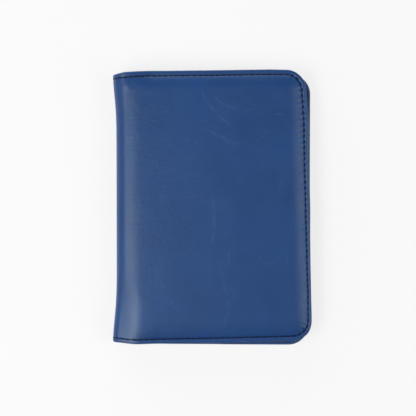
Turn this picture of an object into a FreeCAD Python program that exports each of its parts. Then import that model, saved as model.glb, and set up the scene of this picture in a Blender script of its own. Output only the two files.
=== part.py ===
"""Bifold passport holder in padded, turned-edge imitation leather, lying closed on its back cover.

Frame: millimetres, +Z up. The origin is on the resting face of the back cover, on the mid-height
line of the holder. +X runs from the spine to the fore edge, +Y from the foot to the head.
Each cover is built in layers by depth t, from its outer face (t = 0) inwards. The front cover is
the same build turned face up, with its local x = 0 on the fold line.
"""

import FreeCAD, Part
import math
import os

from FreeCAD import Vector as V

# ---------------------------------------------------------------- covers
HEIGHT = 144.4          # head to foot, over the turned edges
BACK_FORE_X = 52.5      # fore edge of the back cover
BACK_START_X = -43.0    # where the back cover panel meets the spine
FRONT_START_X = -43.6   # where the front cover panel meets the spine
FRONT_LENGTH = 95.5     # front cover panel, fold line to fore edge
CORNER_R = 10.5         # outer corner radius at the fore edge
MIN_CORNER_R = 0.6      # smallest corner radius of an inset layer
CLOSED_FORE = 13.9      # closed thickness over the padding near the fore edge
CLOSED_FORE_X = 46.0    # where that thickness is taken
FRONT_SLOPE = 1.0       # degrees, the front cover falls towards the fore edge
FRONT_SKEW = 1.3        # degrees, the soft fold lets the closed front cover lie askew
FRONT_SPARE = 4.0       # the askew panel is over-long at the fold, then cut parallel to the spine

# ---------------------------------------------------------------- layers, t0 and t1 are depths
SKIN = 0.9              # imitation leather
HEM = 0.5               # skived turn-in of the leather, inside the edge
HEM_WIDTH = 5.0
HEM_CLEAR = 0.3         # board and interlining keep this far off the turn-in
FLANGE_T = 1.5          # depth of the stitched margin below the padded crown
SLOPE_OUT = 2.6         # the padding starts to rise this far in from the edge
SLOPE_IN = 7.0          # and is at full height this far in
SPINE_T = 0.75          # depth of the unpadded spine skin below the crown
SPINE_RUN = 6.0         # length over which the padding tapers into the spine
FOAM_T0, FOAM_T1 = 0.92, 2.08
FOAM_CLEAR = 0.2        # the foam's top outline lies this far inside the crown's
FOAM_START = 1.5        # the foam's lower outline starts this far from the fold
FOAM_FRONT_X = 2.0      # local x the front foam is set out from
BOARD_T0, BOARD_T1 = 2.1, 2.9
BOARD_START = SPINE_RUN + 0.5
BOARD_FRONT_X = 0.5     # local x the front board is set out from
LINING_T0, LINING_T1 = 2.95, 3.25
BORDER_T0, BORDER_T1 = 3.28, 3.88   # stitched border of a sleeve
SLEEVE_T0, SLEEVE_T1 = 4.0, 4.6     # raised panel of a sleeve, over the pocket
SLEEVE_STEP = 5.1       # inset at which the border steps up
INNER_INSET = 0.8       # lining and sleeves stop short of the turned edge
PASSPORT_SLEEVE_X = -4.0            # free edge of the passport sleeve on the back cover
CARD_PANEL_X = 3.0      # free edge of the card panel, local x

# ---------------------------------------------------------------- card slots
SLOT_T = 0.5            # card slot leather
SLOT_STEP = 0.55        # each slot lies on the one before it
SLOT_NAMES = ("upper", "middle", "lower")
SLOT_TOPS = (22.0, 8.0, -6.0)       # opening edges, y
SLOT_STRIP = 18.0       # visible strip and its overlap
BACKING_T = 0.15        # thin pocket cloth behind the upper slots
BACKING_START = 0.5     # the cloth starts this far inside the free edge
BACKING_END = 1.0       # and ends this far short of the panel's step
BACKING_GAP = 0.05      # between a strip and its cloth
CARD_DEPTH = 50.0

# ---------------------------------------------------------------- threads
STITCH_INSET = 2.4
THREAD_R = 0.25
UNDER_THREAD_R = 0.15   # thread on the hidden face of a sleeve
SEAT = 0.01             # a thread lies this far off the surface it sits on
THREAD_START = 0.3      # the back cover's threads start this far from the fold
STEP_GAP = 0.4          # a thread stops this far from a step up to a higher layer
SLOT_LEAD = 0.1         # a thread on a slot starts this far below its opening edge
HEM_THREAD_CLEAR = 1.0  # a hem thread stops this far inside the raised panel's ends
PASSPORT_STITCH = 2.2   # hem thread, from the passport sleeve's free edge
CARD_STITCH_X = 5.0     # card panel hem and side seam of the slots, local x

# ---------------------------------------------------------------- spine
SPINE_OUT_X = -51.8     # outermost face of the spine
INTERLINING = 0.46
INTERLINING_GAP = 0.02  # under the leather
SPINE_LINING = 0.3
SPINE_LINING_GAP = 0.04             # under the turn-in
HEM_OVERLAP = 0.1       # the turn-in reaches into the leather, so that they fuse
FOLD_GAP_BACK = 0.4     # running gap at the fold between spine and back panel
FOLD_GAP_FRONT = 1.0    # the same at the front fold, where the fold line is askew
LIP_THREAD_BACK = 0.2   # spine threads stop this far short of the bottom lip's end
LIP_THREAD_FRONT = 0.05             # and this far short of the top lip's end

# ---------------------------------------------------------------- derived sizes
HALF = HEIGHT / 2
STITCH_Y = HALF - STITCH_INSET
HEM_THREAD_Y = HALF - SLEEVE_STEP - HEM_THREAD_CLEAR

EDGE_SLOPE = FLANGE_T / (SLOPE_IN - SLOPE_OUT)
SPINE_SLOPE = SPINE_T / SPINE_RUN
SLOPED_SKIN = SKIN / math.cos(math.atan(EDGE_SLOPE))    # its vertical thickness

FRONT_CROWN_Z = CLOSED_FORE + (CLOSED_FORE_X - FRONT_START_X) * math.tan(math.radians(FRONT_SLOPE))
FRONT_PLACE = FreeCAD.Placement(
    V(FRONT_START_X, 0, FRONT_CROWN_Z),
    FreeCAD.Rotation(V(0, 0, 1), FRONT_SKEW) * FreeCAD.Rotation(V(0, 1, 0), FRONT_SLOPE))

SPINE_Z0 = SPINE_T
SPINE_Z1 = FRONT_CROWN_Z - SPINE_T
SPINE_R = (SPINE_Z1 - SPINE_Z0) / 2
SPINE_MID_Z = (SPINE_Z1 + SPINE_Z0) / 2
SPINE_MID_X = SPINE_OUT_X + SPINE_R
SPINE_INNER_R = SPINE_R - SKIN
SPINE_LINING_R = SPINE_INNER_R - HEM - SPINE_LINING_GAP
LIP_BACK_X = BACK_START_X - FOLD_GAP_BACK
LIP_FRONT_X = FRONT_START_X - FOLD_GAP_FRONT


# ---------------------------------------------------------------- shapes
def line(a, b):
    return Part.LineSegment(a, b).toShape()


def arc(a, middle, b):
    return Part.Arc(a, middle, b).toShape()


def block(x0, x1, y0, y1, z0, z1):
    return Part.makeBox(x1 - x0, y1 - y0, z1 - z0, V(x0, y0, z0))


def arc_sagitta(radius):
    """Distance along x or y from a square corner to the middle of its rounding arc."""
    return radius * (1 - math.sqrt(0.5))


def cover_wire(inset, start_x, fore_x, t, closed=True):
    """Along the foot, round the fore edge and back along the head; closed squarely at the spine."""
    y = HALF - inset
    x = fore_x - inset
    r = max(CORNER_R - inset, MIN_CORNER_R)
    k = arc_sagitta(r)
    p = [V(start_x, -y, t), V(x - r, -y, t), V(x, -y + r, t),
         V(x, y - r, t), V(x - r, y, t), V(start_x, y, t)]
    edges = [
        line(p[0], p[1]),
        arc(p[1], V(x - k, -y + k, t), p[2]),
        line(p[2], p[3]),
        arc(p[3], V(x - k, y - k, t), p[4]),
        line(p[4], p[5]),
    ]
    if closed:
        edges.append(line(p[5], p[0]))
    return Part.Wire(edges)


def slab(inset, start_x, fore_x, t0, t1):
    return Part.Face(cover_wire(inset, start_x, fore_x, t0)).extrude(V(0, 0, t1 - t0))


def tapered_slab(inset0, start0, t0, inset1, start1, t1, fore_x):
    """Solid between two outlines at different depths."""
    wires = [cover_wire(inset0, start0, fore_x, t0), cover_wire(inset1, start1, fore_x, t1)]
    return Part.makeLoft(wires, True, True)


def cord(wire, radius=THREAD_R):
    """A thread swept along a wire that starts with a straight run."""
    first = wire.OrderedEdges[0]
    start = wire.OrderedVertexes[0].Point
    profile = Part.Wire([Part.makeCircle(radius, start, first.tangentAt(first.FirstParameter))])
    return wire.makePipeShell([profile], True, True)


def straight_cord(a, b, radius=THREAD_R):
    return cord(Part.Wire([line(a, b)]), radius)


def seated(t):
    """Depth of a thread's axis on the inward face at depth t."""
    return t + THREAD_R + SEAT


def place_front(shape):
    """Puts a layer built by depth in the closed front position."""
    placed = shape.mirror(V(0, 0, 0), V(0, 0, 1))
    placed.Placement = FRONT_PLACE
    return placed


def trim_front(shape):
    """The same, cut parallel to the spine at the front fold."""
    return place_front(shape).common(block(FRONT_START_X, 80, -90, 90, -10, 40))


# ---------------------------------------------------------------- layers of a cover
def crown_body(start_x, fore_x, t, inset):
    """The padded rise of a cover, with its top at depth t."""
    start = start_x + SPINE_RUN
    return tapered_slab(inset, start, t,
                        inset - FLANGE_T / EDGE_SLOPE, start - FLANGE_T / SPINE_SLOPE,
                        t + FLANGE_T, fore_x)


def outer_skin(start_x, fore_x, spare=0.0):
    """Leather shell: padded crown, stitched margin and turned-in hem. Open towards the fold."""
    hem_t = FLANGE_T + SKIN
    slab_start = start_x - 12   # well past the fold, cut off below
    hollow_inset = SLOPE_IN + (SLOPED_SKIN - SKIN) / EDGE_SLOPE
    body = crown_body(start_x, fore_x, 0.0, SLOPE_IN).fuse(
        slab(0.0, slab_start, fore_x, FLANGE_T, hem_t + HEM))
    hollow = crown_body(start_x, fore_x, SKIN, hollow_inset).fuse(
        slab(HEM_WIDTH, slab_start, fore_x, hem_t, hem_t + HEM + 1))
    keep = block(start_x - spare, fore_x + 1, -HALF - 1, HALF + 1, -1, 5)
    return body.cut(hollow).common(keep)


def foam_pad(start_x, fore_x):
    inset = SLOPE_IN + FOAM_CLEAR
    run = (FOAM_T1 - FOAM_T0) / EDGE_SLOPE
    return tapered_slab(inset, start_x + SPINE_RUN + FOAM_CLEAR, FOAM_T0,
                        inset - run, start_x + FOAM_START, FOAM_T1, fore_x)


def board(start_x, fore_x):
    return slab(HEM_WIDTH + HEM_CLEAR, start_x + BOARD_START, fore_x, BOARD_T0, BOARD_T1)


def lining(start_x, fore_x):
    return slab(INNER_INSET, start_x, fore_x, LINING_T0, LINING_T1)


def pocket(start_x, fore_x, raised_inset, border_t, raised_t, thick):
    """Panel sewn on three sides: a stitched border that steps up over the pocket."""
    border = slab(INNER_INSET, start_x, fore_x, border_t, border_t + thick)
    raised = slab(raised_inset, start_x, fore_x, border_t, raised_t + thick)
    hollow = slab(raised_inset + thick, start_x - 1, fore_x, border_t - 1, raised_t)
    return border.fuse(raised).cut(hollow)


def sleeve(start_x, fore_x):
    return pocket(start_x, fore_x, SLEEVE_STEP, BORDER_T0, SLEEVE_T0, SLEEVE_T1 - SLEEVE_T0)


# ---------------------------------------------------------------- card slots, on the card panel
def slot_rise(k):
    """Height of slot k's inward face over the card panel's. Each slot lies over the last."""
    return (k + 1) * SLOT_STEP


def slot_bottom(k):
    """The two upper slots are strips; the lower one runs to the foot."""
    return SLOT_TOPS[k] - SLOT_STRIP if k < 2 else -HALF


def card_slot(k):
    rise = slot_rise(k)
    panel = pocket(CARD_PANEL_X, FRONT_LENGTH, SLEEVE_STEP - rise,
                   BORDER_T1 + rise - SLOT_T, SLEEVE_T1 + rise - SLOT_T, SLOT_T)
    return panel.common(block(0, FRONT_LENGTH, slot_bottom(k), SLOT_TOPS[k], 0, 9))


def card_slot_backing(k):
    """Thin cloth that carries a strip down to its card depth."""
    t = SLEEVE_T1 + slot_rise(k) - SLOT_T
    return block(CARD_PANEL_X + BACKING_START, FRONT_LENGTH - SLEEVE_STEP - BACKING_END,
                 SLOT_TOPS[k] - CARD_DEPTH, slot_bottom(k) - BACKING_GAP, t, t + BACKING_T)


# ---------------------------------------------------------------- threads of the covers
def needle_thread(start_x, fore_x):
    """Outer run of the seam, on the stitched margin."""
    return cord(cover_wire(STITCH_INSET, start_x, fore_x, FLANGE_T - THREAD_R - SEAT, False))


def lining_runs(start_x, sleeve_x):
    """Bobbin runs at foot and head on the bare lining, from the fold to a sleeve's free edge."""
    t = seated(LINING_T1)
    return [straight_cord(V(start_x, y, t), V(sleeve_x - STEP_GAP, y, t))
            for y in (-STITCH_Y, STITCH_Y)]


def bobbin_thread_back():
    """Inner run of the seam, on the sleeve border and on the bare lining."""
    path = cover_wire(STITCH_INSET, PASSPORT_SLEEVE_X + STEP_GAP, BACK_FORE_X,
                      seated(BORDER_T1), False)
    return Part.makeCompound(
        [cord(path)] + lining_runs(BACK_START_X + THREAD_START, PASSPORT_SLEEVE_X))


def corner_run(side, y_end, t):
    """Bobbin run along the head (side 1) or foot (-1), round the corner, up the fore edge."""
    x = FRONT_LENGTH - STITCH_INSET
    y = side * STITCH_Y
    r = CORNER_R - STITCH_INSET
    k = arc_sagitta(r)
    before = V(x - r, y, t)
    after = V(x, y - side * r, t)
    return cord(Part.Wire([
        line(V(CARD_PANEL_X + STEP_GAP, y, t), before),
        arc(before, V(x - k, y - side * k, t), after),
        line(after, V(x, y_end, t)),
    ]))


def bobbin_thread_front():
    """On the bare lining, on the card panel's border, then up over each slot's border."""
    x = FRONT_LENGTH - STITCH_INSET
    runs = lining_runs(-FRONT_SPARE, CARD_PANEL_X)
    runs.append(corner_run(1, SLOT_TOPS[0] + STEP_GAP, seated(BORDER_T1)))
    for k in (0, 1):
        t = seated(BORDER_T1 + slot_rise(k))
        runs.append(straight_cord(V(x, SLOT_TOPS[k] - SLOT_LEAD, t),
                                  V(x, SLOT_TOPS[k + 1] + STEP_GAP, t)))
    runs.append(corner_run(-1, SLOT_TOPS[2] - SLOT_LEAD, seated(BORDER_T1 + slot_rise(2))))
    return Part.makeCompound(runs)


def under_thread(x):
    """Hem thread on the hidden face of a sleeve's raised panel."""
    t = SLEEVE_T0 - UNDER_THREAD_R - SEAT
    return straight_cord(V(x, -HEM_THREAD_Y, t), V(x, HEM_THREAD_Y, t), UNDER_THREAD_R)


def passport_sleeve_hem_thread():
    x = PASSPORT_SLEEVE_X + PASSPORT_STITCH
    t = seated(SLEEVE_T1)
    top = straight_cord(V(x, -HEM_THREAD_Y, t), V(x, HEM_THREAD_Y, t))
    return Part.makeCompound([top, under_thread(x)])


def card_panel_thread():
    """Card panel hem and side seam of the slots in one line, stepping up over each slot."""
    ends = (HEM_THREAD_Y,) + SLOT_TOPS + (-(HALF - SLEEVE_STEP + 2 * SLOT_STEP),)
    runs = []
    for k in range(4):
        t = seated(SLEEVE_T1 + k * SLOT_STEP)
        high = ends[k] - (SLOT_LEAD if k else 0.0)
        low = ends[k + 1] + (STEP_GAP if k < 3 else 0.0)
        runs.append(straight_cord(V(CARD_STITCH_X, low, t), V(CARD_STITCH_X, high, t)))
    return Part.makeCompound(runs + [under_thread(CARD_STITCH_X)])


# ---------------------------------------------------------------- spine
def spine_edges(radius, y, low_x, high_x):
    """Half circle open to +X, with a straight run at the bottom and the top."""
    z0, z1 = SPINE_MID_Z - radius, SPINE_MID_Z + radius
    bottom, top = V(SPINE_MID_X, y, z0), V(SPINE_MID_X, y, z1)
    return [
        line(V(low_x, y, z0), bottom),
        arc(bottom, V(SPINE_MID_X - radius, y, SPINE_MID_Z), top),
        line(top, V(high_x, y, z1)),
    ]


def spine_wall(outer_r, inner_r, y0, y1):
    """Half tube open to +X, with its straight lips cut to length at the folds."""
    end_x = SPINE_MID_X + 12    # past both lips

    def filled(radius):
        closing = line(V(end_x, y0, SPINE_MID_Z + radius), V(end_x, y0, SPINE_MID_Z - radius))
        wire = Part.Wire(spine_edges(radius, y0, end_x, end_x) + [closing])
        return Part.Face(wire).extrude(V(0, y1 - y0, 0))

    wall = filled(outer_r).cut(filled(inner_r))
    low = block(SPINE_MID_X - 20, LIP_BACK_X, y0 - 1, y1 + 1, -5, SPINE_MID_Z)
    high = block(SPINE_MID_X - 20, LIP_FRONT_X, y0 - 1, y1 + 1, SPINE_MID_Z, 40)
    return wall.common(low.fuse(high))


def spine_skin():
    """Leather with a turn-in at foot and head."""
    skin = spine_wall(SPINE_R, SPINE_INNER_R, -HALF, HALF)
    for y0, y1 in ((-HALF, -HALF + HEM_WIDTH), (HALF - HEM_WIDTH, HALF)):
        skin = skin.fuse(spine_wall(SPINE_INNER_R + HEM_OVERLAP, SPINE_INNER_R - HEM, y0, y1))
    return skin.removeSplitter()


def spine_layer(outer_r, thick, half_length):
    return spine_wall(outer_r, outer_r - thick, -half_length, half_length)


def spine_threads(radius):
    low_x, high_x = LIP_BACK_X - LIP_THREAD_BACK, LIP_FRONT_X - LIP_THREAD_FRONT
    return Part.makeCompound([cord(Part.Wire(spine_edges(radius, y, low_x, high_x)))
                              for y in (-STITCH_Y, STITCH_Y)])


# ---------------------------------------------------------------- pieces
pieces = {
    "outer_cover_back": outer_skin(BACK_START_X, BACK_FORE_X),
    "foam_pad_back": foam_pad(BACK_START_X, BACK_FORE_X),
    "stiffener_board_back": board(BACK_START_X, BACK_FORE_X),
    "lining_back": lining(BACK_START_X, BACK_FORE_X),
    "passport_sleeve": sleeve(PASSPORT_SLEEVE_X, BACK_FORE_X),
    "seam_needle_thread_back": needle_thread(BACK_START_X + THREAD_START, BACK_FORE_X),
    "seam_bobbin_thread_back": bobbin_thread_back(),
    "passport_sleeve_hem_thread": passport_sleeve_hem_thread(),

    "outer_cover_front": trim_front(outer_skin(0.0, FRONT_LENGTH, FRONT_SPARE)),
    "foam_pad_front": place_front(foam_pad(FOAM_FRONT_X, FRONT_LENGTH)),
    "stiffener_board_front": place_front(board(BOARD_FRONT_X, FRONT_LENGTH)),
    "lining_front": trim_front(lining(-FRONT_SPARE, FRONT_LENGTH)),
    "card_panel": place_front(sleeve(CARD_PANEL_X, FRONT_LENGTH)),
    "seam_needle_thread_front": trim_front(needle_thread(-FRONT_SPARE, FRONT_LENGTH)),
    "seam_bobbin_thread_front": trim_front(bobbin_thread_front()),
    "card_panel_thread": place_front(card_panel_thread()),

    "outer_cover_spine": spine_skin(),
    "spine_interlining": spine_layer(
        SPINE_INNER_R - INTERLINING_GAP, INTERLINING, HALF - HEM_WIDTH - HEM_CLEAR),
    "lining_spine": spine_layer(SPINE_LINING_R, SPINE_LINING, HALF - INNER_INSET),
    "seam_needle_thread_spine": spine_threads(SPINE_R + THREAD_R + SEAT),
    "seam_bobbin_thread_spine": spine_threads(SPINE_LINING_R - SPINE_LINING - THREAD_R - SEAT),
}
for k, name in enumerate(SLOT_NAMES):
    pieces["card_slot_" + name] = place_front(card_slot(k))
    if k < 2:
        pieces["card_slot_backing_" + name] = place_front(card_slot_backing(k))

os.makedirs("parts", exist_ok=True)
for name, shape in pieces.items():
    solids = shape.Solids
    piece = solids[0] if len(solids) == 1 else Part.makeCompound(solids)
    piece.exportStep("parts/" + name + ".step")
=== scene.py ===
"""Looks of a closed bifold passport holder in padded, stitched imitation leather.

The holder lies on its back cover, with the front cover on top (+z), the spine at -x, the fore edge
at +x, the foot at -y and the head at +y. The leather, lining, pockets and stitches are built around
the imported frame, in its own coordinates. Lengths are in mm and become metres when a mesh is made;
materials, lights and camera are in metres.
"""

import math

import bmesh
import bpy
import numpy as np
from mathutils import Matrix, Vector

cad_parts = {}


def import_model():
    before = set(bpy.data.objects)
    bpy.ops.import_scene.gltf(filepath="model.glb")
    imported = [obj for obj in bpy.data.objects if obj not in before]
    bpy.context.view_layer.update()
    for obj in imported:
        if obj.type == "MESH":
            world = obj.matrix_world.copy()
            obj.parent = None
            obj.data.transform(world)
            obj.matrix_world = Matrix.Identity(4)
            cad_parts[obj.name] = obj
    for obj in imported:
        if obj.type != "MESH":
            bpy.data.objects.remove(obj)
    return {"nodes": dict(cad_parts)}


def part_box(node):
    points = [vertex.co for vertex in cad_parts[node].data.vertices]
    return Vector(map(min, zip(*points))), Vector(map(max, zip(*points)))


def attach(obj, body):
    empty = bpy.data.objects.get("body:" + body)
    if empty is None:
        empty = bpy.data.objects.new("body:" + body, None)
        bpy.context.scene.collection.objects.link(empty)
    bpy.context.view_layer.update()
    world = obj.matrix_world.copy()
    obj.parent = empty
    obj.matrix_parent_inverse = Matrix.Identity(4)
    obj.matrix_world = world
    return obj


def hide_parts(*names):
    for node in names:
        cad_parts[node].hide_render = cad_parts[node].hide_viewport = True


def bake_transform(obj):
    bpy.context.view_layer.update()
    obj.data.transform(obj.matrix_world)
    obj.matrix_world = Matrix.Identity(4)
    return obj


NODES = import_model()["nodes"]
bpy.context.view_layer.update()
MM = 0.001


# ---------------------------------------------------------------- helpers
def smooth(x):
    x = np.clip(x, 0.0, 1.0)
    return x * x * (3 - 2 * x)


def bell(x, width):
    return np.exp(-(x / width) ** 2)


def spread(*values):
    """The values as float arrays of one common shape."""
    return np.broadcast_arrays(*[np.asarray(value, float) for value in values])


def knots(x, at, values):
    """Smooth curve through a few values, nearly flat at each of them."""
    x, at, values = (np.asarray(item, float) for item in (x, at, values))
    i = np.clip(np.searchsorted(at, x) - 1, 0, len(at) - 2)
    share = np.clip((x - at[i]) / (at[i + 1] - at[i]), 0, 1)
    return values[i] + (values[i + 1] - values[i]) * (0.35 * share + 0.65 * smooth(share))


def lines(*stops):
    """Grid lines from (start, stop, spacing) stretches."""
    out = []
    for start, stop, spacing in stops:
        count = max(1, round(abs(stop - start) / spacing))
        out += list(np.linspace(start, stop, count, endpoint=False))
    return np.array(out + [stops[-1][1]])


def waves(seed, count, shortest, longest, height):
    """A smooth random field over (x, y), always the same for one seed."""
    rng = np.random.default_rng(seed)
    length = np.exp(rng.uniform(math.log(shortest), math.log(longest), count))
    angle = rng.uniform(0, 2 * math.pi, count)
    phase = rng.uniform(0, 2 * math.pi, count)
    weight = length / length.max()

    def field(x, y):
        x, y = spread(x, y)
        total = np.zeros(x.shape)
        for i in range(count):
            across = x * math.cos(angle[i]) + y * math.sin(angle[i])
            total += weight[i] * np.cos(2 * math.pi / length[i] * across + phase[i])
        return height * total / math.sqrt((weight ** 2).sum() / 2)

    return field


# ---------------------------------------------------------------- where the frame is
def span(node):
    low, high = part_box(node)
    return np.array(low) / MM, np.array(high) / MM


def corners_of(node):
    return np.array([vertex.co for vertex in NODES[node].data.vertices], float) / MM


BACK_LO, BACK_HI = span("outer_cover_back")
SPINE_LO, SPINE_HI = span("outer_cover_spine")
BOARD_LO = span("stiffener_board_back")[0]
LINING_LO, LINING_HI = span("lining_back")
SLEEVE_LO = span("passport_sleeve")[0]

HALF = (BACK_HI[1] - BACK_LO[1]) / 2         # from mid height to head or foot
CORNER = 10.5                                # radius of the fore corners
SKIN, HEM = 0.9, 0.5                         # thickness of the leather and of its turned hem
EDGE = SKIN + HEM                            # thickness of the turned edge
FLANGE = 1.5                                 # the stitched margin lies this deep below the crown
SEAM = 2.4                                   # seam line, in from the edge
PITCH = 3.1                                  # stitch length
SPINE_RADIUS = (SPINE_HI[2] - SPINE_LO[2]) / 2
MID_Z = (SPINE_HI[2] + SPINE_LO[2]) / 2
LINING_DEPTH = LINING_LO[2] - FLANGE         # of the lining, below the margin's own surface
LINING_TOP = LINING_HI[2]
BOARD_X = BOARD_LO[0] - BACK_LO[0]
BOARD_DEPTH = BOARD_LO[2]
SPINE_RUN = 10.2                             # the leather's length round the spine, from mid line


def front_frame():
    """Origin and axes of the front cover: x from the fold, y to the head, z out of the crown."""
    points = corners_of("stiffener_board_front")
    mid = points.mean(0)
    normal = np.linalg.svd(points - mid)[2][2]
    normal = normal if normal[2] > 0 else -normal
    top = points[(points - mid) @ normal > 0]
    head = top[np.argmax(top @ np.array([-1.0, 1.0, 0.0]))]
    foot = top[np.argmax(top @ np.array([-1.0, -1.0, 0.0]))]
    y = (head - foot) / np.linalg.norm(head - foot)
    x = np.cross(y, normal)
    origin = (head + foot) / 2 - x * BOARD_X + normal * BOARD_DEPTH
    return origin, np.stack([x, y, normal], 1)


FRONT_ORIGIN, FRONT_AXES = front_frame()
SLOPE = math.asin(-FRONT_AXES[2, 0])
FRONT_LEN = ((corners_of("outer_cover_front") - FRONT_ORIGIN) @ FRONT_AXES)[:, 0].max()
FORE_X = {1: FRONT_LEN, -1: BACK_HI[0]}      # fore edge in each cover's own x


# ---------------------------------------------------------------- outline of the covers
# Hand-cut leather is not an exact rectangle. Each entry has places, then the shifts from the
# pattern there. head, foot: places along x, shifts along y. fore, edge: places along y, shifts
# along x; fore moves the seam with the edge, edge moves the margin beyond the seam alone.
# Keys: 1 the front cover, -1 the back cover.
CUT = {
    1: dict(
        head=((0, 6, 12, 20, 50, 75, 85, 95),
              (-0.75, -0.34, -0.20, -0.30, -0.42, -0.45, -0.75, -1.15)),
        foot=((0, 10, 40, 60, 75, 85, 95), (0.05, 0.10, 0.10, 0.20, 0.28, 0.42, 0.65)),
        fore=((-62, -48, -30, -5, 20, 45, 52, 62),
              (0.62, 0.80, 0.55, 0.42, 0.20, 0.20, -0.10, -0.65)),
        edge=((-60, -48, -32, -20, 0, 60), (-0.50, -0.75, -0.55, -0.42, 0.0, 0.0))),
    -1: dict(
        head=((-40, 50), (-0.5, -0.6)),
        foot=((-40, -20, 0, 10, 40, 52), (-0.45, -0.60, -0.60, -0.70, -0.68, -0.50)),
        fore=((-66, -52, -10, 5, 25, 60), (-0.30, 0.0, -0.05, 0.15, 0.05, 0.0)),
        edge=((-60, 60), (0.0, 0.0))),
}


def cut(side, x, y, depth):
    """A point of a cover, moved in its plane from the pattern to the real outline."""
    x, y, depth = spread(x, y, depth)
    shifts, inset = CUT[side], FORE_X[side] - x
    up = np.clip((y + HALF) / (2 * HALF), 0, 1)
    shift_y = knots(x, *shifts["foot"]) * (1 - up) + knots(x, *shifts["head"]) * up
    beyond_seam = np.clip((SEAM - inset) / SEAM, 0, 1.4)
    reach = smooth(np.clip(1 - inset / 60.0, 0, 1))
    shift_x = knots(y, *shifts["fore"]) * reach + knots(y, *shifts["edge"]) * beyond_seam
    return x + shift_x, y + shift_y, depth


def on_front(x, y, depth):
    """A point of the front cover, so deep below its crown."""
    x, y, depth = cut(1, x, y, depth)
    return FRONT_ORIGIN + np.stack([x, y, -depth], -1) @ FRONT_AXES.T


def on_back(x, y, depth):
    return np.stack(cut(-1, x, y, depth), -1)


class Rim:
    """Samples along foot, fore edge and head of one half of the cover. The same samples serve
    every inset, and "along" is the length on the seam line from the spine's foot."""

    STEP = 0.52

    def __init__(self, width):
        self.width = width
        self.straight = width - CORNER
        self.corner_y = HALF - CORNER
        quarter = (CORNER - SEAM) * math.pi / 2
        corner_count = max(6, round(quarter / self.STEP) + 1)
        self.runs = self.samples(0.0, self.straight)
        self.angles = np.linspace(-math.pi / 2, 0, corner_count)[1:-1]
        self.fore_y = self.samples(-self.corner_y, self.corner_y)
        run, y = self.ring(SEAM)
        self.along = np.concatenate([[0], np.cumsum(np.hypot(np.diff(run), np.diff(y)))])
        self.count = len(run)
        self.length = self.straight * 2 + 2 * self.corner_y + math.pi * (CORNER - SEAM)

    def samples(self, start, stop):
        return np.linspace(start, stop, max(2, round((stop - start) / self.STEP) + 1))

    def ring(self, inset):
        """(run, y) of all samples at one inset."""
        radius = CORNER - inset
        run = np.concatenate([self.runs, self.straight + radius * np.cos(self.angles)])
        foot = np.concatenate([np.full(len(self.runs), -(HALF - inset)),
                               -self.corner_y + radius * np.sin(self.angles)])
        fore = np.full(len(self.fore_y), self.width - inset)
        return (np.concatenate([run, fore, run[::-1]]),
                np.concatenate([foot, self.fore_y, -foot[::-1]]))

    def walk(self, along, inset):
        """(run, y) at a length along the seam line, moved to an inset."""
        seam_radius, radius = CORNER - SEAM, CORNER - inset
        foot_end = self.straight
        fore_start = foot_end + seam_radius * math.pi / 2
        fore_end = fore_start + 2 * self.corner_y
        head_start = fore_end + seam_radius * math.pi / 2
        foot_angle = (along - foot_end) / seam_radius - math.pi / 2
        head_angle = (along - fore_end) / seam_radius
        parts = [along <= end for end in (foot_end, fore_start, fore_end, head_start)]
        run = np.select(parts, [
            along,
            self.straight + radius * np.cos(foot_angle),
            self.width - inset + 0 * along,
            self.straight + radius * np.cos(head_angle),
        ], self.straight - (along - head_start))
        y = np.select(parts, [
            -(HALF - inset) + 0 * along,
            -self.corner_y + radius * np.sin(foot_angle),
            -self.corner_y + (along - fore_start),
            self.corner_y + radius * np.sin(head_angle),
        ], HALF - inset)
        return run, y


# ---------------------------------------------------------------- the shape of the leather
# Cross-section: round the spine, a slope up to the stiffener board's edge, then the flat cover.
# On the front the slope is straight at head and foot and rounds off in the middle; towards the
# foot the spine is drawn in more.
# Columns: y, slope in degrees, straight length, length over which it turns flat.
SLOPES = {
    1: ((-62.0, 13.6, 10.0, 4.0), (-28.0, 6.6, 2.2, 12.4), (0.0, 4.8, 1.6, 13.4),
        (58.0, 2.8, 10.0, 5.0)),
    -1: ((-60.0, 7.5, 3.0, 6.0), (60.0, 7.5, 3.0, 6.0)),
}
FLAT_X = SPINE_LO[0] + 21.0                  # from here on the section is straight
SECTION_POINTS = 800
# Bumps near the spine on the front. Columns: run, y, size, height.
BUMPS = ((11.4, 65.0, 1.7, 0.32), (12.5, -60.0, 4.5, 0.22))
PUFF_HEIGHT = 0.34                           # of the pressed-out padding


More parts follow.
